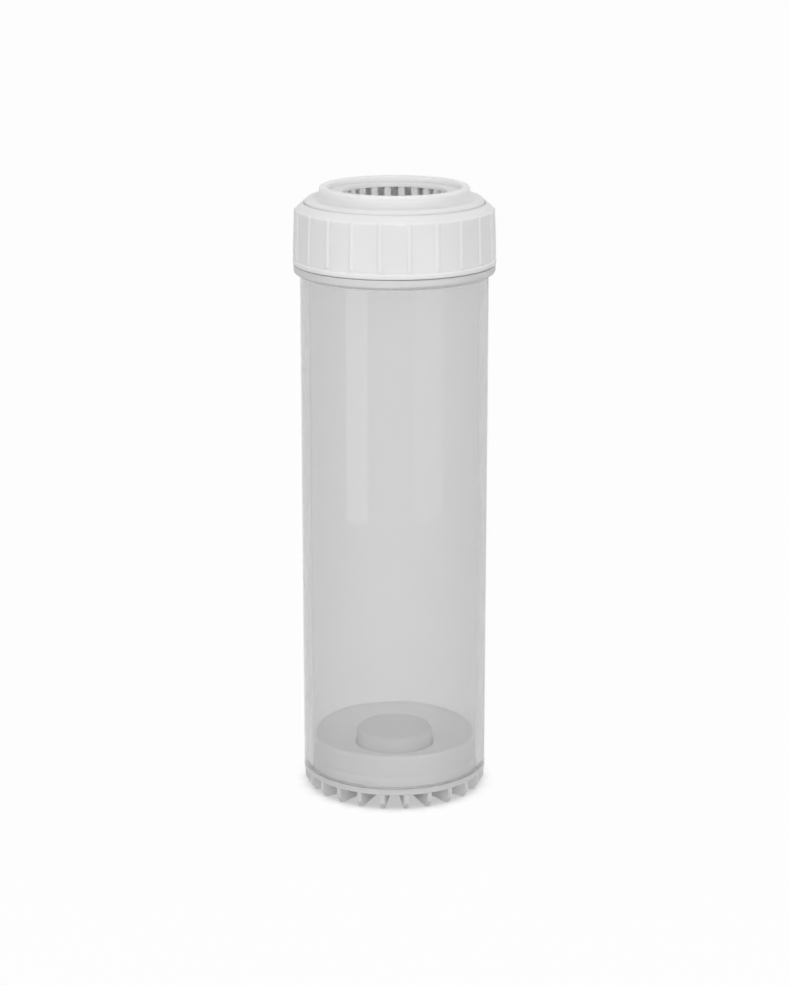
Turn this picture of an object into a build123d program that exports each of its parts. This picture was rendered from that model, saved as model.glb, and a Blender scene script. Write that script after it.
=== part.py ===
from build123d import *
import os

# Refillable filter cartridge, in millimetres.
# The origin is the middle of the foot, on the ground, and Z points up along the axis.

# Clear barrel
barrel_height = 234.5
tube_diameter = 75.0
tube_wall = 3.4
mouth_length = 17.2
mouth_step = 1.0
mouth_rim_round = 0.5
shoulder_reach = 2.5
shoulder_thickness = 3.1
shoulder_taper = 0.9
shoulder_round = 0.4
shoulder_edge_round = 1.2
shoulder_root_round = 0.8

# Foot of the barrel: fins under a slotted floor, round a hub with a socket
foot_height = 6.4
foot_inset = 0.3
foot_round = 0.5
floor_thickness = 2.0
fin_count = 24
fin_thickness = 1.85
fin_toe_reach = 1.8
fin_toe_height = 2.6
drain_slot_width = 1.6
drain_slot_inner_land = 3.0
drain_slot_outer_land = 3.1
socket_diameter = 27.0
socket_depth = 21.2
hub_wall = 2.05
hub_top_thickness = 2.0
hub_top_round = 1.9

# Foam pads
pad_clearance = 0.3
pad_edge_round = 0.8
bottom_pad_hub_height = 8.9
bottom_pad_rim_height = 14.6

# Gaskets
seal_gap = 0.1
mouth_gasket_thickness = 1.5
mouth_gasket_inset = 0.15
top_gasket_thickness = 1.5
top_gasket_clearance = 0.25

# Outlet insert
spigot_clearance = 0.5
spigot_wall = 2.0
spigot_length = 16.1
catch_lip_reach = 0.8
catch_lip_height = 1.2
flange_clearance = 0.4
flange_thickness = 2.2
neck_inset = 1.0
neck_height = 5.0
neck_chamfer = 1.1
face_thickness = 1.8
collar_height = 4.7
collar_wall = 3.05
collar_lip_round = 1.0
collar_mouth_round = 0.6
collar_foot_round = 2.5
seat_depth = 3.7
seat_width = 6.25
seat_thickness = 1.4
outlet_diameter = 40.8
basket_depth = 12.0
basket_wall = 2.0
basket_floor = 2.0
basket_round = 1.0
outlet_slot_count = 24
outlet_slot_width = 2.9
outlet_slot_height = 10.8
outlet_slot_reach = 3.8

# Lock ring
thread_room = 1.2
ring_wall = 1.5
ring_draft = 0.6
ring_lip_thickness = 3.7
ring_lip_round = 0.4
ring_bevel_drop = 3.2
ring_corner_round = 1.2
ring_running_gap = 0.3
bead_height = 2.0
bead_reach = 0.5
bead_round = 0.4
grip_rib_count = 22
grip_rib_width = 1.7
grip_rib_height = 0.4
grip_rib_chamfer = 0.3
grip_rib_gap = 0.6

# Radii that follow from the sizes above
tube_radius = tube_diameter / 2
bore_radius = tube_radius - tube_wall
mouth_radius = tube_radius - mouth_step
foot_radius = tube_radius - foot_inset
socket_radius = socket_diameter / 2
hub_radius = socket_radius + hub_wall
spigot_radius = bore_radius - spigot_clearance
spigot_bore_radius = spigot_radius - spigot_wall
neck_radius = mouth_radius - neck_inset
ring_bore_radius = mouth_radius + thread_room
flange_radius = ring_bore_radius - flange_clearance
outlet_radius = outlet_diameter / 2
basket_radius = outlet_radius + basket_wall
seat_radius = outlet_radius + seat_width
collar_radius = seat_radius + collar_wall
ring_opening_radius = neck_radius + ring_running_gap
ring_top_radius = ring_bore_radius + ring_wall
skirt_radius = ring_top_radius + ring_draft
bead_radius = skirt_radius + bead_reach

# Heights that follow, from the foot up
floor_top = foot_height + floor_thickness
shoulder_top = barrel_height - mouth_length
shoulder_bottom = shoulder_top - shoulder_thickness
mouth_gasket_bottom = barrel_height + seal_gap
flange_bottom = mouth_gasket_bottom + mouth_gasket_thickness
flange_top = flange_bottom + flange_thickness
spigot_bottom = flange_bottom - spigot_length
face_top = flange_top + neck_height
face_bottom = face_top - face_thickness
collar_top = face_top + collar_height
seat_top = collar_top - seat_depth
seat_bottom = seat_top - seat_thickness
basket_floor_top = seat_top - basket_depth
basket_bottom = basket_floor_top - basket_floor
ring_bottom = shoulder_top + ring_running_gap
bead_top = ring_bottom + bead_height
ring_lip_bottom = flange_top + seal_gap
ring_top = ring_lip_bottom + ring_lip_thickness
ring_corner = ring_top - ring_bevel_drop


def turned(*corners):
    """Turns a closed section about Z. A corner is its radius, its height and, if round, its rounding."""
    points = [corner[:2] for corner in corners]
    roundings = [corner[2] if len(corner) > 2 else 0 for corner in corners]
    outline = FilletPolyline(*points, radius=roundings, close=True)
    return revolve(Plane.XZ * make_face(outline), Axis.Z)


def flat_ring(inner_radius, outer_radius, bottom, top):
    """A flat ring about Z, with square edges."""
    return turned((inner_radius, bottom), (outer_radius, bottom), (outer_radius, top), (inner_radius, top))


def around(piece, count, first_angle=0):
    """Copies of a piece, evenly spaced about Z."""
    return [Rot(0, 0, first_angle + turn * 360 / count) * piece for turn in range(count)]


def radial_bar(inner_radius, outer_radius, width, bottom, top):
    """A square bar that points along X, away from the axis."""
    bar = Box(outer_radius - inner_radius, width, top - bottom)
    return Pos((inner_radius + outer_radius) / 2, 0, (bottom + top) / 2) * bar


def make_barrel():
    """One clear moulding. Its fins stand on the ground and carry the floor, open to water from all sides."""
    shell = turned(
        (0, socket_depth),
        (socket_radius, socket_depth),
        (socket_radius, 0),
        (hub_radius, 0),
        (hub_radius, foot_height),
        (tube_radius, foot_height, foot_round),
        (tube_radius, shoulder_bottom - shoulder_taper, shoulder_root_round),
        (tube_radius + shoulder_reach, shoulder_bottom, shoulder_edge_round),
        (tube_radius + shoulder_reach, shoulder_top, shoulder_round),
        (mouth_radius, shoulder_top),
        (mouth_radius, barrel_height, mouth_rim_round),
        (bore_radius, barrel_height, mouth_rim_round),
        (bore_radius, floor_top),
        (hub_radius, floor_top),
        (hub_radius, socket_depth + hub_top_thickness, hub_top_round),
        (0, socket_depth + hub_top_thickness),
    )
    fin_root = hub_radius - hub_wall / 2
    fin_top = foot_height + floor_thickness / 2
    fin_outline = turned(
        (fin_root, 0),
        (foot_radius - fin_toe_reach, 0),
        (foot_radius, fin_toe_height),
        (foot_radius, fin_top),
        (fin_root, fin_top),
    )
    fin = fin_outline & radial_bar(0, tube_diameter, fin_thickness, 0, fin_top)
    # The gap between two fins faces the front
    fins = around(fin, fin_count, 180 / fin_count)

    slot_start = hub_radius + drain_slot_inner_land
    slot_end = bore_radius - drain_slot_outer_land
    slot_length = slot_end - slot_start
    drain_slot = extrude(SlotOverall(slot_length, drain_slot_width), floor_thickness * 2)
    drain_slot = Pos(slot_start + slot_length / 2, 0, foot_height - floor_thickness / 2) * drain_slot
    return shell + fins - around(drain_slot, fin_count)


def make_bottom_pad():
    """Foam ring round the hub. Its top falls from the wall towards the hub."""
    inner_radius = hub_radius + pad_clearance
    outer_radius = bore_radius - pad_clearance
    return turned(
        (inner_radius, floor_top),
        (outer_radius, floor_top),
        (outer_radius, floor_top + bottom_pad_rim_height, pad_edge_round),
        (inner_radius, floor_top + bottom_pad_hub_height, pad_edge_round),
    )


def make_outlet_insert():
    """One white moulding, clamped by its flange. Water rises round the basket and enters it by the slots."""
    face_edge = neck_radius - neck_chamfer
    fillet_radius = min(collar_foot_round, (face_edge - collar_radius) / 2, collar_height / 2)
    collar = turned(
        (seat_radius, face_bottom),
        (neck_radius, face_bottom),
        (neck_radius, face_top - neck_chamfer),
        (face_edge, face_top),
        (collar_radius, face_top, fillet_radius),
        (collar_radius, collar_top, collar_lip_round),
        (seat_radius, collar_top, collar_mouth_round),
    )
    lip_radius = spigot_bore_radius - catch_lip_reach
    lip_top = spigot_bottom + catch_lip_height
    spigot = turned(
        (lip_radius, spigot_bottom),
        (spigot_radius, spigot_bottom, catch_lip_reach / 2),
        (spigot_radius, flange_bottom),
        (flange_radius, flange_bottom),
        (flange_radius, flange_top),
        (neck_radius, flange_top),
        (neck_radius, face_bottom + face_thickness / 4),
        (spigot_bore_radius, face_bottom + face_thickness / 4),
        (spigot_bore_radius, lip_top),
        (lip_radius, lip_top),
    )
    under_collar = seat_radius + collar_wall / 2
    basket = turned(
        (0, basket_bottom),
        (basket_radius, basket_bottom, basket_round),
        (basket_radius, seat_bottom),
        (under_collar, seat_bottom),
        (under_collar, seat_top),
        (outlet_radius, seat_top),
        (outlet_radius, basket_floor_top),
        (0, basket_floor_top),
    )
    slot_start = outlet_radius - basket_wall
    slot_end = outlet_radius + outlet_slot_reach
    slot_top = seat_top + seat_thickness
    slot = radial_bar(slot_start, slot_end, outlet_slot_width, seat_top - outlet_slot_height, slot_top)
    return collar + spigot + (basket - around(slot, outlet_slot_count))


def make_top_gasket():
    """Flat ring on the seat inside the collar, over the tops of the slots."""
    return flat_ring(
        outlet_radius + top_gasket_clearance,
        seat_radius - top_gasket_clearance,
        seat_top,
        seat_top + top_gasket_thickness,
    )


def make_mouth_gasket():
    """Flat ring under the insert's flange, over the barrel's rim."""
    return flat_ring(
        bore_radius + mouth_gasket_inset,
        mouth_radius - mouth_gasket_inset,
        mouth_gasket_bottom,
        flange_bottom,
    )


def make_top_pad():
    """Foam disc in the spigot, between its catch lip and the floor of the basket."""
    outer_radius = spigot_bore_radius - pad_clearance
    bottom = spigot_bottom + catch_lip_height
    return turned((0, bottom), (outer_radius, bottom), (outer_radius, basket_bottom), (0, basket_bottom))


def make_lock_ring():
    """Union ring that screws onto the mouth and draws the insert's flange down on its gasket."""
    body = turned(
        (ring_bore_radius, ring_bottom),
        (bead_radius, ring_bottom, bead_round),
        (bead_radius, bead_top, bead_round),
        (skirt_radius, bead_top),
        (ring_top_radius, ring_corner, ring_corner_round),
        (ring_opening_radius, ring_top, ring_lip_round),
        (ring_opening_radius, ring_lip_bottom),
        (ring_bore_radius, ring_lip_bottom),
    )
    root_radius = ring_bore_radius + ring_wall / 2
    bevel_slope = ring_bevel_drop / (ring_top_radius - ring_opening_radius)
    rib_bottom = bead_top + grip_rib_gap
    rib_side = make_face(
        Polyline(
            (root_radius, rib_bottom),
            (skirt_radius, rib_bottom),
            (skirt_radius + grip_rib_height, rib_bottom + grip_rib_height),
            (ring_top_radius + grip_rib_height, ring_corner),
            (root_radius, ring_corner + (ring_top_radius - root_radius) * bevel_slope),
            close=True,
        )
    )
    rib = extrude(Plane.XZ * rib_side, grip_rib_width / 2, both=True)
    long_edges = rib.edges().sort_by(SortBy.LENGTH)[-4:]
    rib = chamfer(long_edges.sort_by(Axis.X)[-2:], grip_rib_chamfer)
    # The front faces the flat between two ribs
    return body + around(rib, grip_rib_count, 180 / grip_rib_count - 90)


pieces = {
    "barrel": make_barrel(),
    "bottom_pad": make_bottom_pad(),
    "outlet_insert": make_outlet_insert(),
    "top_gasket": make_top_gasket(),
    "mouth_gasket": make_mouth_gasket(),
    "top_pad": make_top_pad(),
    "lock_ring": make_lock_ring(),
}
os.makedirs("parts", exist_ok=True)
for name, piece in pieces.items():
    export_step(piece, f"parts/{name}.step")
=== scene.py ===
import math

import bmesh
import bpy
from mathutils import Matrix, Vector, noise


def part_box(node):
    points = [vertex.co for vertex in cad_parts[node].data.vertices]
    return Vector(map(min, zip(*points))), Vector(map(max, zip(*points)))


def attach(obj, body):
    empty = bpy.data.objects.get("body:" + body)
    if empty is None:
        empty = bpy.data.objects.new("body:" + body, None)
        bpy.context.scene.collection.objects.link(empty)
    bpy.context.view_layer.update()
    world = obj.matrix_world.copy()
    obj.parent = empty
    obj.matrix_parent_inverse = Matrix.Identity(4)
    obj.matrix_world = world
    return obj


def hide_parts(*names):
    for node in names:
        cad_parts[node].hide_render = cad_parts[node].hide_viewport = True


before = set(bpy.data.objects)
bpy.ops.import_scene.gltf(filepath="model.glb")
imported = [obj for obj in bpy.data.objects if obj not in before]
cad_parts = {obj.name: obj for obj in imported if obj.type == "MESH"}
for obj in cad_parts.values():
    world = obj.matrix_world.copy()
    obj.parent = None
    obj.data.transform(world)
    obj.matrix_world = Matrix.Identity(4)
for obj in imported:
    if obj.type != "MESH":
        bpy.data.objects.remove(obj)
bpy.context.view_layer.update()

MM = 0.001

# Boxes of the pieces at rest, in metres
barrel_low, barrel_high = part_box("barrel")
pad_low, pad_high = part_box("bottom_pad")
top_pad_low, top_pad_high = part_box("top_pad")
ring_low, ring_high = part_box("lock_ring")
insert_low, insert_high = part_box("outlet_insert")
gasket_low, gasket_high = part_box("top_gasket")
seal_low, seal_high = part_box("mouth_gasket")
OVERALL = insert_high[2]

# Foam ring round the hub
PAD_HOLE_RADIUS = 15.85 * MM
PAD_DISH = 5.7 * MM
PAD_EDGE_ROUND = 1.4 * MM
PAD_CREASE_HEIGHT = 4.4 * MM
PAD_CREASE_DEPTH = 0.35 * MM
PAD_CREASE_WIDTH = 0.9 * MM

# Gaskets
TOP_GASKET_HOLE_RADIUS = 20.65 * MM
MOUTH_GASKET_HOLE_RADIUS = 34.25 * MM
GASKET_EDGE_ROUND = 0.35 * MM

# Right-hand thread between the barrel's mouth and the ring
THREAD_PITCH = 5.0 * MM
THREAD_TURNS = 2.2
THREAD_START = 221.6 * MM
THREAD_ROOT_HALF = 1.1 * MM
THREAD_SINK = 0.1 * MM
MOUTH_RADIUS = 36.5 * MM
MOUTH_CREST_RADIUS = 37.45 * MM
RING_BORE_RADIUS = 37.7 * MM
RING_CREST_RADIUS = 36.75 * MM
THREAD_FLANK_STEP = 1.8 * MM

# The tube's wall is polished, and the rest of the barrel is frosted
FROST_HUB_RADIUS = 20.0 * MM
FROST_FLOOR_TOP = 9.6 * MM
FROST_SHOULDER_BOTTOM = 213.3 * MM
FROST_BLEND = 1.0 * MM

# Where the outside of the outlet insert starts; inside it the colour is painted a little whiter, as painted
# light in its shaded chamber
INSERT_INNER_RADIUS = 27.2 * MM
INSERT_FACE_BOTTOM = 242.3 * MM

# Share of white in the floor that the camera sees, and how dark the floor's painted shadow under the foot is
FLOOR_WHITE_SHARE = 0.97
FOOT_SHADE = 0.54
FOOT_SHADE_REACH = 10.0 * MM


# Materials

def new_material(name):
    """A material with an empty node tree apart from a Principled shader and the output."""
    material = bpy.data.materials.new(name)
    material.use_nodes = True
    tree = material.node_tree
    shader = tree.nodes["Principled BSDF"]
    return material, tree, shader


def object_noise(tree, scale, detail=3.0, stretch=(1.0, 1.0, 1.0)):
    """Noise fixed to the object's own coordinates, with scale in cells per metre."""
    place = tree.nodes.new("ShaderNodeTexCoord")
    mapping = tree.nodes.new("ShaderNodeMapping")
    mapping.inputs["Scale"].default_value = stretch
    cells = tree.nodes.new("ShaderNodeTexNoise")
    cells.inputs["Scale"].default_value = scale
    cells.inputs["Detail"].default_value = detail
    tree.links.new(place.outputs["Object"], mapping.inputs["Vector"])
    tree.links.new(mapping.outputs["Vector"], cells.inputs["Vector"])
    return cells.outputs["Fac"]


def between(tree, factor, low, high):
    """Maps a noise factor to a range of values."""
    spread = tree.nodes.new("ShaderNodeMapRange")
    spread.inputs["From Min"].default_value = 0.3
    spread.inputs["From Max"].default_value = 0.7
    spread.inputs["To Min"].default_value = low
    spread.inputs["To Max"].default_value = high
    tree.links.new(factor, spread.inputs["Value"])
    return spread.outputs["Result"]


def add_bump(tree, shader, height, strength, distance):
    """Bump from a height signal, with distance in metres."""
    bump = tree.nodes.new("ShaderNodeBump")
    bump.inputs["Strength"].default_value = strength
    bump.inputs["Distance"].default_value = distance
    tree.links.new(height, bump.inputs["Height"])
    tree.links.new(bump.outputs["Normal"], shader.inputs["Normal"])


def mix_colours(tree, factor, first, second):
    """A colour between two, by factor."""
    mix = tree.nodes.new("ShaderNodeMix")
    mix.data_type = "RGBA"
    mix.inputs["A"].default_value = (*first, 1.0)
    mix.inputs["B"].default_value = (*second, 1.0)
    tree.links.new(factor, mix.inputs["Factor"])
    return mix.outputs["Result"]


def scaled(tree, factor, low, high):
    """Maps a factor from 0 to 1 to a range of values."""
    spread = tree.nodes.new("ShaderNodeMapRange")
    spread.inputs["To Min"].default_value = low
    spread.inputs["To Max"].default_value = high
    tree.links.new(factor, spread.inputs["Value"])
    return spread.outputs["Result"]


def ramp(tree, value, start, end):
    """0 before start, 1 after end, and smooth between them."""
    step = tree.nodes.new("ShaderNodeMapRange")
    step.interpolation_type = "SMOOTHSTEP"
    step.inputs["From Min"].default_value = start
    step.inputs["From Max"].default_value = end
    tree.links.new(value, step.inputs["Value"])
    return step.outputs["Result"]


def multiplied(tree, first, second):
    """Two factors, multiplied."""
    product = tree.nodes.new("ShaderNodeMath")
    product.operation = "MULTIPLY"
    tree.links.new(first, product.inputs[0])
    tree.links.new(second, product.inputs[1])
    return product.outputs["Value"]


def radius_and_height(tree):
    """Distance from the axis and height above the foot, in the object's own coordinates."""
    place = tree.nodes.new("ShaderNodeTexCoord")
    axes = tree.nodes.new("ShaderNodeSeparateXYZ")
    tree.links.new(place.outputs["Object"], axes.inputs["Vector"])
    flat = tree.nodes.new("ShaderNodeVectorMath")
    flat.operation = "MULTIPLY"
    flat.inputs[1].default_value = (1.0, 1.0, 0.0)
    tree.links.new(place.outputs["Object"], flat.inputs[0])
    radius = tree.nodes.new("ShaderNodeVectorMath")
    radius.operation = "LENGTH"
    tree.links.new(flat.outputs["Vector"], radius.inputs[0])
    return radius.outputs["Value"], axes.outputs["Z"]


def tube_wall(tree):
    """1 on the tube's polished wall, and 0 on the frosted hub, floor, fins, shoulder and mouth."""
    radius, height = radius_and_height(tree)
    outside_hub = ramp(tree, radius, FROST_HUB_RADIUS, FROST_HUB_RADIUS + FROST_BLEND)
    above_floor = ramp(tree, height, FROST_FLOOR_TOP - FROST_BLEND, FROST_FLOOR_TOP)
    below_shoulder = ramp(tree, height, FROST_SHOULDER_BOTTOM, FROST_SHOULDER_BOTTOM - FROST_BLEND)
    return multiplied(tree, multiplied(tree, outside_hub, above_floor), below_shoulder)


def insert_painted_light_mask(tree):
    """1 on the outlet insert's collar and face, and 0 inside it, where the colour is painted a little whiter:
    painted light standing in for light in the shaded chamber behind the slots.
    """
    radius, height = radius_and_height(tree)
    outside_collar = ramp(tree, radius, INSERT_INNER_RADIUS, INSERT_INNER_RADIUS + FROST_BLEND)
    above_face = ramp(tree, height, INSERT_FACE_BOTTOM - FROST_BLEND, INSERT_FACE_BOTTOM)
    return multiplied(tree, outside_collar, above_face)


def white_plastic(name, first, second, glow_depth, place=None):
    """Moulded white polypropylene: satin and slightly translucent, with a faint orange-peel."""
    material, tree, shader = new_material(name)
    # The base colour varies at random by noise, or follows a place mask, which for the insert paints its
    # inside lighter as painted light
    share = place(tree) if place else between(tree, object_noise(tree, 45.0, 2.0), 0.0, 1.0)
    tone = mix_colours(tree, share, first, second)
    tree.links.new(tone, shader.inputs["Base Color"])
    rough = between(tree, object_noise(tree, 160.0), 0.34, 0.44)
    tree.links.new(rough, shader.inputs["Roughness"])
    shader.inputs["IOR"].default_value = 1.49
    shader.inputs["Subsurface Weight"].default_value = 1.0
    shader.inputs["Subsurface Radius"].default_value = (glow_depth, glow_depth, glow_depth * 0.95)
    shader.inputs["Subsurface Scale"].default_value = 1.0
    add_bump(tree, shader, object_noise(tree, 900.0), 0.10, 0.00004)
    return material


def clear_plastic(name):
    """Clear styrene: a polished, faintly grey tube with flow lines, and a frosted foot and shoulder."""
    material, tree, shader = new_material(name)
    wall = tube_wall(tree)
    tone = mix_colours(tree, wall, (0.97, 0.97, 0.97), (0.97, 0.97, 0.97))
    tree.links.new(tone, shader.inputs["Base Color"])
    tree.links.new(scaled(tree, wall, 0.35, 0.87), shader.inputs["Transmission Weight"])
    shader.inputs["IOR"].default_value = 1.50
    polished = multiplied(tree, wall, between(tree, object_noise(tree, 60.0), 0.40, 0.43))
    tree.links.new(scaled(tree, polished, 0.45, -0.55), shader.inputs["Roughness"])
    add_bump(tree, shader, object_noise(tree, 70.0, 2.0, (1.0, 1.0, 0.08)), 0.08, 0.0002)
    absorb = tree.nodes.new("ShaderNodeVolumeAbsorption")
    absorb.inputs["Color"].default_value = (0.5, 0.5, 0.5, 1.0)
    absorb.inputs["Density"].default_value = 95.0
    output = tree.nodes["Material Output"]
    tree.links.new(absorb.outputs["Volume"], output.inputs["Volume"])
    # Lamps shine straight through the clear wall
    through = tree.nodes.new("ShaderNodeBsdfTransparent")
    path = tree.nodes.new("ShaderNodeLightPath")
    mix = tree.nodes.new("ShaderNodeMixShader")
    tree.links.new(path.outputs["Is Shadow Ray"], mix.inputs["Fac"])
    tree.links.new(shader.outputs["BSDF"], mix.inputs[1])
    tree.links.new(through.outputs["BSDF"], mix.inputs[2])
    tree.links.new(mix.outputs["Shader"], output.inputs["Surface"])
    return material


def foam(name):
    """Open-cell white foam, matt, with fine pores."""
    material, tree, shader = new_material(name)
    pores = object_noise(tree, 1400.0, 4.0)
    tone = mix_colours(tree, between(tree, pores, 0.0, 1.0), (0.95, 0.95, 0.95), (0.98, 0.98, 0.98))
    tree.links.new(tone, shader.inputs["Base Color"])
    shader.inputs["Roughness"].default_value = 0.85
    shader.inputs["Subsurface Weight"].default_value = 0.4
    shader.inputs["Subsurface Radius"].default_value = (0.002, 0.002, 0.002)
    shader.inputs["Subsurface Scale"].default_value = 1.0
    add_bump(tree, shader, pores, 0.5, 0.0002)
    return material


def soft_gasket(name):
    """Soft white sealing ring, satin."""
    material, tree, shader = new_material(name)
    grain = between(tree, object_noise(tree, 120.0), 0.0, 1.0)
    tone = mix_colours(tree, grain, (0.80, 0.80, 0.80), (0.84, 0.84, 0.84))
    tree.links.new(tone, shader.inputs["Base Color"])
    rough = between(tree, object_noise(tree, 300.0), 0.45, 0.6)
    tree.links.new(rough, shader.inputs["Roughness"])
    add_bump(tree, shader, object_noise(tree, 1200.0), 0.15, 0.00005)
    return material


def finish_node(node, material):
    """Gives a CAD piece its material."""
    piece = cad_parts[node]
    if not piece.material_slots:
        piece.data.materials.append(material)
    for slot in piece.material_slots:
        slot.material = material


clear = clear_plastic("clear_plastic")
# The insert's inside is painted whiter (0.96) than its outside (0.87): painted light in its shaded chamber
# and slots
white_insert = white_plastic("white_insert", (0.96, 0.96, 0.96), (0.87, 0.87, 0.87), 5.0 * MM, insert_painted_light_mask)
white_ring = white_plastic("white_ring", (0.86, 0.86, 0.86), (0.89, 0.89, 0.89), 1.5 * MM)
finish_node("barrel", clear)
finish_node("outlet_insert", white_insert)
finish_node("lock_ring", white_ring)


# Meshes turned about the axis

def rounded_outline(corners, arc_steps=6):
    """Points of an outline whose corners, each a radius, a height and a rounding, get arcs."""
    points = []
    for index, (radius, height, rounding) in enumerate(corners):
        corner = Vector((radius, height))
        if rounding == 0:
            points.append(corner)
            continue
        before = (Vector(corners[index - 1][:2]) - corner).normalized()
        after = (Vector(corners[(index + 1) % len(corners)][:2]) - corner).normalized()
        half_angle = before.angle(after) / 2
        start = corner + before * rounding / math.tan(half_angle)
        end = corner + after * rounding / math.tan(half_angle)
        centre = corner + (before + after).normalized() * rounding / math.sin(half_angle)
        for step in range(arc_steps + 1):
            chord_point = start.lerp(end, step / arc_steps)
            points.append(centre + (chord_point - centre).normalized() * rounding)
    return points


def divided(points, longest, closed=True):
    """The outline with its long sides cut into pieces no longer than the given length."""
    fine = []
    sides = len(points) if closed else len(points) - 1
    for index in range(sides):
        start = points[index]
        end = points[(index + 1) % len(points)]
        cuts = max(1, math.ceil((end - start).length / longest))
        fine += [start.lerp(end, cut / cuts) for cut in range(cuts)]
    if not closed:
        fine.append(points[-1])
    return fine


def turned_mesh(name, outline, steps, closed=True):
    """A smooth mesh turned about Z from an outline of radius and height. Open outlines end on the axis."""
    shape = bmesh.new()
    rings = []
    for radius, height in outline:
        if radius < 1e-6:
            rings.append([shape.verts.new((0.0, 0.0, height))] * steps)
            continue
        turn = 2 * math.pi / steps
        rings.append([
            shape.verts.new((radius * math.cos(step * turn), radius * math.sin(step * turn), height))
            for step in range(steps)
        ])
    pairs = list(zip(rings, rings[1:]))
    if closed:
        pairs.append((rings[-1], rings[0]))
    for lower, upper in pairs:
        for step in range(steps):
            after = (step + 1) % steps
            corners = [lower[step], lower[after], upper[after], upper[step]]
            corners = list(dict.fromkeys(corners))
            if len(corners) > 2:
                shape.faces.new(corners)
    bmesh.ops.recalc_face_normals(shape, faces=shape.faces)
    return finished_mesh(name, shape)


def finished_mesh(name, shape):
    """An object from a bmesh, with smooth shading."""
    mesh = bpy.data.meshes.new(name)
    shape.to_mesh(mesh)
    shape.free()
    for face in mesh.polygons:
        face.use_smooth = True
    piece = bpy.data.objects.new(name, mesh)
    bpy.context.scene.collection.objects.link(piece)
    return piece


def roughen(piece, cell, depth):
    """Sinks the surface by up to a depth, in soft random lumps of a cell's size."""
    normals = [vertex.normal.copy() for vertex in piece.data.vertices]
    for vertex, normal in zip(piece.data.vertices, normals):
        lump = 0.5 + 0.5 * noise.noise(vertex.co / cell)
        vertex.co -= normal * depth * min(1.0, max(0.0, lump))


# Foam pads

def make_bottom_pad():
    """Foam ring round the hub, with a dished top, soft edges and a faint crease round its side."""
    outer = pad_high[0]
    corners = [
        (PAD_HOLE_RADIUS, pad_low[2], 0),
        (outer, pad_low[2], 0.6 * MM),
        (outer, pad_high[2], PAD_EDGE_ROUND),
        (PAD_HOLE_RADIUS, pad_high[2] - PAD_DISH, PAD_EDGE_ROUND),
    ]
    outline = divided(rounded_outline(corners), 0.6 * MM)
    crease = pad_low[2] + PAD_CREASE_HEIGHT
    for point in outline:
        if point.x > outer - 0.1 * MM:
            near = (point.y - crease) / PAD_CREASE_WIDTH
            point.x -= PAD_CREASE_DEPTH * math.exp(-near * near)
    pad = turned_mesh("foam_ring", outline, 300)
    roughen(pad, 9.0 * MM, 0.25 * MM)
    roughen(pad, 1.1 * MM, 0.12 * MM)
    pad.data.materials.append(foam("foam_ring"))
    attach(pad, "barrel")
    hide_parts("bottom_pad")


def make_top_pad():
    """Foam disc in the spigot, cut from sheet, with a slightly crowned lower face."""
    outer = top_pad_high[0]
    low = top_pad_low[2]
    high = top_pad_high[2]
    corners = [(0, low, 0), (outer, low, 1.0 * MM), (outer, high, 0.8 * MM), (0, high, 0)]
    outline = divided(rounded_outline(corners), 0.8 * MM, closed=False)
    pad = turned_mesh("foam_disc", outline, 260, closed=False)
    roughen(pad, 9.0 * MM, 0.2 * MM)
    roughen(pad, 1.2 * MM, 0.12 * MM)
    pad.data.materials.append(foam("foam_disc"))
    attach(pad, "closure")
    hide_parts("top_pad")


# Gaskets

def make_gasket(name, node, hole_radius, low, high):
    """Flat sealing ring with softly rounded edges."""
    corners = [
        (hole_radius, low[2], GASKET_EDGE_ROUND),
        (high[0], low[2], GASKET_EDGE_ROUND),
        (high[0], high[2], GASKET_EDGE_ROUND),
        (hole_radius, high[2], GASKET_EDGE_ROUND),
    ]
    gasket = turned_mesh(name, divided(rounded_outline(corners), 0.8 * MM), 200)
    roughen(gasket, 6.0 * MM, 0.04 * MM)
    gasket.data.materials.append(soft_gasket(name))
    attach(gasket, "closure")
    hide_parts(node)


# Threads

def make_thread(name, body, material, root, crest, start):
    """A right-hand ridge on a wall of the root radius, up to the crest radius, with ends that run out."""
    steps_per_turn = 120
    run_out = 0.1
    # Across the ridge: place as a share of its half width, and height as a share of its full height
    section = ((-1.0, 0.0), (-0.62, 0.82), (-0.48, 0.97), (-0.36, 1.0), (0.36, 1.0), (0.48, 0.97), (0.62, 0.82), (1.0, 0.0))
    outwards = 1 if crest > root else -1
    shape = bmesh.new()
    steps = round(THREAD_TURNS * steps_per_turn)
    rows = []
    for step in range(steps + 1):
        turn = step / steps_per_turn
        angle = 2 * math.pi * turn
        rise = min(1.0, turn / run_out, (THREAD_TURNS - turn) / run_out)
        rise = rise * rise * (3 - 2 * rise)
        row = []
        for across, tall in section:
            radius = root - outwards * THREAD_SINK + (crest - root + outwards * THREAD_SINK) * tall * rise
            height = start + turn * THREAD_PITCH + across * THREAD_ROOT_HALF
            row.append(shape.verts.new((radius * math.cos(angle), radius * math.sin(angle), height)))
        rows.append(row)
    for lower, upper in zip(rows, rows[1:]):
        for index in range(len(section)):
            after = (index + 1) % len(section)
            shape.faces.new((lower[index], lower[after], upper[after], upper[index]))
    shape.faces.new(rows[0])
    shape.faces.new(rows[-1])
    bmesh.ops.recalc_face_normals(shape, faces=shape.faces)
    thread = finished_mesh(name, shape)
    thread.data.materials.append(material)
    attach(thread, body)


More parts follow.
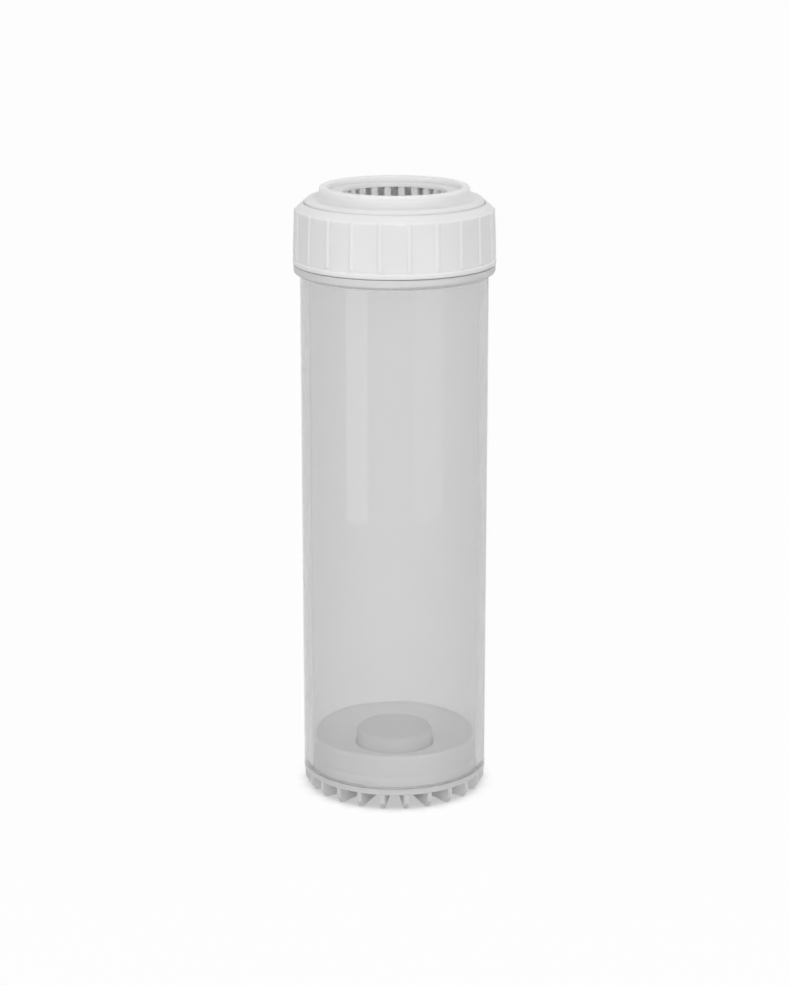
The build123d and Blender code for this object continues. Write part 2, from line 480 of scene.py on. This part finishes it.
make_bottom_pad()
make_top_pad()
make_gasket("seal_ring", "top_gasket", TOP_GASKET_HOLE_RADIUS, gasket_low, gasket_high)
make_gasket("mouth_seal", "mouth_gasket", MOUTH_GASKET_HOLE_RADIUS, seal_low, seal_high)
make_thread("mouth_thread", "barrel", clear, MOUTH_RADIUS, MOUTH_CREST_RADIUS, THREAD_START)
make_thread(
    "ring_thread",
    "ring",
    white_ring,
    RING_BORE_RADIUS,
    RING_CREST_RADIUS,
    THREAD_START - THREAD_FLANK_STEP,
)


# Floor and background: white where the camera, glass and gloss see it

def seen_directly(tree):
    """1 for rays from the camera and those that glass or gloss passes on, 0 for the rest."""
    path = tree.nodes.new("ShaderNodeLightPath")
    seen = path.outputs["Is Camera Ray"]
    for kind in ("Is Glossy Ray", "Is Transmission Ray"):
        either = tree.nodes.new("ShaderNodeMath")
        either.operation = "MAXIMUM"
        tree.links.new(seen, either.inputs[0])
        tree.links.new(path.outputs[kind], either.inputs[1])
        seen = either.outputs["Value"]
    return seen


def make_floor():
    """A large pale floor, white to the camera, that keeps a faint share of the object's real shadow and has a
    painted shadow under and around the foot.
    """
    half = 12.0
    mesh = bpy.data.meshes.new("floor")
    corners = [(-half, -half, 0), (half, -half, 0), (half, half, 0), (-half, half, 0)]
    mesh.from_pydata(corners, [], [(0, 1, 2, 3)])
    floor = bpy.data.objects.new("floor", mesh)
    bpy.context.scene.collection.objects.link(floor)
    material, tree, shader = new_material("floor")
    shader.inputs["Base Color"].default_value = (0.65, 0.65, 0.65, 1.0)
    shader.inputs["Roughness"].default_value = 0.8
    shader.inputs["Specular IOR Level"].default_value = 0.0
    # Painted shadow: ambient occlusion darkens the floor's white glow under and near the foot, down to
    # FOOT_SHADE
    openness = tree.nodes.new("ShaderNodeAmbientOcclusion")
    openness.samples = 8
    openness.inputs["Distance"].default_value = FOOT_SHADE_REACH
    strength = tree.nodes.new("ShaderNodeMapRange")
    strength.inputs["From Min"].default_value = 0.25
    strength.inputs["From Max"].default_value = 0.75
    strength.inputs["To Min"].default_value = FOOT_SHADE
    strength.inputs["To Max"].default_value = 1.0
    tree.links.new(openness.outputs["AO"], strength.inputs["Value"])
    glow = tree.nodes.new("ShaderNodeEmission")
    glow.inputs["Color"].default_value = (1.0, 1.0, 1.0, 1.0)
    tree.links.new(strength.outputs["Result"], glow.inputs["Strength"])
    share = tree.nodes.new("ShaderNodeMath")
    share.operation = "MULTIPLY"
    share.inputs[1].default_value = FLOOR_WHITE_SHARE
    tree.links.new(seen_directly(tree), share.inputs[0])
    mix = tree.nodes.new("ShaderNodeMixShader")
    tree.links.new(share.outputs["Value"], mix.inputs["Fac"])
    tree.links.new(shader.outputs["BSDF"], mix.inputs[1])
    tree.links.new(glow.outputs["Emission"], mix.inputs[2])
    tree.links.new(mix.outputs["Shader"], tree.nodes["Material Output"].inputs["Surface"])
    mesh.materials.append(material)


def make_world():
    """Even white surroundings: full white to the camera, glass and gloss, plain fill light otherwise."""
    world = bpy.data.worlds.new("studio")
    bpy.context.scene.world = world
    world.use_nodes = True
    tree = world.node_tree
    fill = tree.nodes["Background"]
    fill.inputs["Color"].default_value = (1.0, 1.0, 1.0, 1.0)
    fill.inputs["Strength"].default_value = 0.56
    white = tree.nodes.new("ShaderNodeBackground")
    white.inputs["Color"].default_value = (1.0, 1.0, 1.0, 1.0)
    white.inputs["Strength"].default_value = 1.0
    mix = tree.nodes.new("ShaderNodeMixShader")
    tree.links.new(seen_directly(tree), mix.inputs["Fac"])
    tree.links.new(fill.outputs["Background"], mix.inputs[1])
    tree.links.new(white.outputs["Background"], mix.inputs[2])
    tree.links.new(mix.outputs["Shader"], tree.nodes["World Output"].inputs["Surface"])


def aim(thing, target):
    """Turns a lamp or camera to face a point."""
    direction = Vector(target) - thing.location
    thing.rotation_euler = direction.to_track_quat("-Z", "Y").to_euler()


def add_softbox(name, azimuth, distance, low, high, width, brightness):
    """An upright softbox that faces the axis, at an azimuth from the front, positive to the right."""
    lamp = bpy.data.lights.new(name, "AREA")
    lamp.shape = "RECTANGLE"
    lamp.size = width
    lamp.size_y = high - low
    lamp.energy = brightness * math.pi * width * (high - low)
    softbox = bpy.data.objects.new(name, lamp)
    bpy.context.scene.collection.objects.link(softbox)
    turn = math.radians(azimuth)
    middle = (low + high) / 2
    softbox.location = (distance * math.sin(turn), -distance * math.cos(turn), middle)
    aim(softbox, (0.0, 0.0, middle))
    softbox.visible_camera = False
    softbox.visible_transmission = False


def add_lamp(name, azimuth, elevation, distance, size, brightness):
    """A square softbox, seen from the part's middle at an azimuth and an elevation."""
    lamp = bpy.data.lights.new(name, "AREA")
    lamp.shape = "SQUARE"
    lamp.size = size
    lamp.energy = brightness * math.pi * size * size
    softbox = bpy.data.objects.new(name, lamp)
    bpy.context.scene.collection.objects.link(softbox)
    turn = math.radians(azimuth)
    rise = math.radians(elevation)
    reach = distance * math.cos(rise)
    height = distance * math.sin(rise) + OVERALL / 2
    softbox.location = (reach * math.sin(turn), -reach * math.cos(turn), height)
    aim(softbox, (0.0, 0.0, OVERALL / 2))
    softbox.visible_camera = False
    softbox.visible_transmission = False


make_floor()
make_world()
add_softbox("left_softbox", -45.0, 0.45, 0.001, 0.5, 0.22, 1.0)
add_softbox("right_softbox", 41.5, 0.45, 0.001, 0.5, 0.29, 0.5)
add_lamp("top_softbox", 15.0, 60.0, 1.3, 0.6, 2.3)
add_lamp("front_softbox", 5.0, 20.0, 1.6, 0.5, 4.0)


# Camera at the photograph's viewing angle

CAMERA_DISTANCE = 1000.0 * MM
CAMERA_HEIGHT = 394.0 * MM
CAMERA_AIM_HEIGHT = 122.8 * MM
CAMERA_LENS = 93.26
camera_data = bpy.data.cameras.new("camera")
camera_data.lens = CAMERA_LENS
camera_data.sensor_width = 36.0
camera = bpy.data.objects.new("camera", camera_data)
bpy.context.scene.collection.objects.link(camera)
camera.location = (0.0, -CAMERA_DISTANCE, CAMERA_HEIGHT)
aim(camera, (0.0, 0.0, CAMERA_AIM_HEIGHT))
bpy.context.scene.camera = camera
bpy.context.scene.view_settings.view_transform = "Standard"
